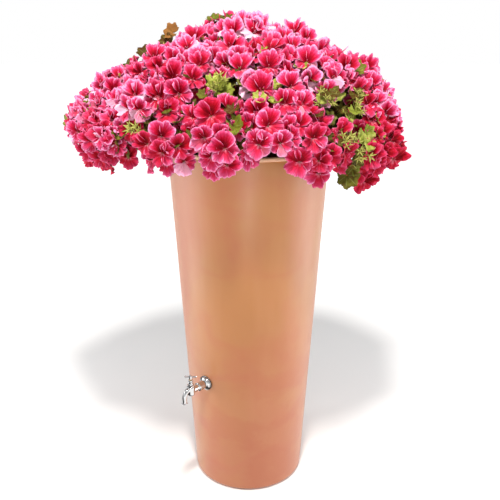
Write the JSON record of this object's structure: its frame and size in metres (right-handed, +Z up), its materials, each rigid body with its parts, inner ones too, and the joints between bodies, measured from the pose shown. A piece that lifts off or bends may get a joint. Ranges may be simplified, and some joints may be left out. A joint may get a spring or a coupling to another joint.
{
  "type": "rain barrel",
  "caption": "Tall tapered terracotta-coloured rain barrel with a garden tap near its foot and a lift-out planter bowl of flowering pelargoniums closing its mouth.",
  "frame": {"origin": "centre of the barrel's flat underside", "axes": "+Z up along the barrel's axis; -Y is the front; +X is to the right seen from the front, and the tap stands front left"},
  "size_m": [1.1, 0.86, 1.5891],
  "materials": {
    "terracotta_plastic": "rotationally moulded polyethylene, terracotta colour, matt with faint cloudy mottling",
    "bowl_plastic": "moulded polyethylene, a lighter terracotta, satin on the rounded lip",
    "black_plastic": "injection moulded black plastic",
    "black_rubber": "matt black rubber",
    "chrome": "polished chrome plate on brass",
    "brass": "turned brass, bare",
    "soil": null,
    "pelargonium": null
  },
  "bodies": {
    "barrel": {"barrel_shell": "terracotta_plastic", "tap_rosette": "chrome", "tap_outer_seal": "black_rubber", "tap_inner_seal": "black_rubber", "tap_back_nut": "brass", "tap_body": "chrome", "tap_bonnet": "chrome", "tap_gland_packing": "black_rubber", "tap_gland_nut": "chrome", "inlet_hose_connector": "black_plastic", "inlet_outer_seal": "black_rubber", "inlet_inner_seal": "black_rubber", "inlet_back_nut": "black_plastic"},
    "valve": {"tap_jumper": "brass", "tap_washer": "black_rubber", "tap_jumper_nut": "brass"},
    "handle": {"tap_spindle": "brass", "tap_handle": "chrome", "tap_handle_screw": "chrome"},
    "planter": {"planter_bowl": "bowl_plastic", "bowl_strainer": "black_plastic", "potting_soil": "soil", "pelargonium_middle": "pelargonium", "pelargonium_front_left": "pelargonium", "pelargonium_front_right": "pelargonium", "pelargonium_right": "pelargonium", "pelargonium_rear_right": "pelargonium", "pelargonium_rear_left": "pelargonium", "pelargonium_left": "pelargonium"}
  },
  "joints": [
    {"name": "planter_lift", "type": "slide", "parent": "barrel", "child": "planter", "axis": [0, 0, 1], "range_m": [0, 0.26]},
    {"name": "valve_lift", "type": "slide", "parent": "barrel", "child": "valve", "axis": [0, 0, 1], "range_m": [0, 0.00312]},
    {"name": "tap_turn", "type": "hinge", "parent": "valve", "child": "handle", "pos_m": [-0.19067, -0.21934, 0.416], "axis": [0, 0, 1], "range_deg": [0, 450]}
  ],
  "couplings": [
    {"joint": "tap_turn", "follows": "valve_lift", "rad_per_m": 2513.3}
  ]
}
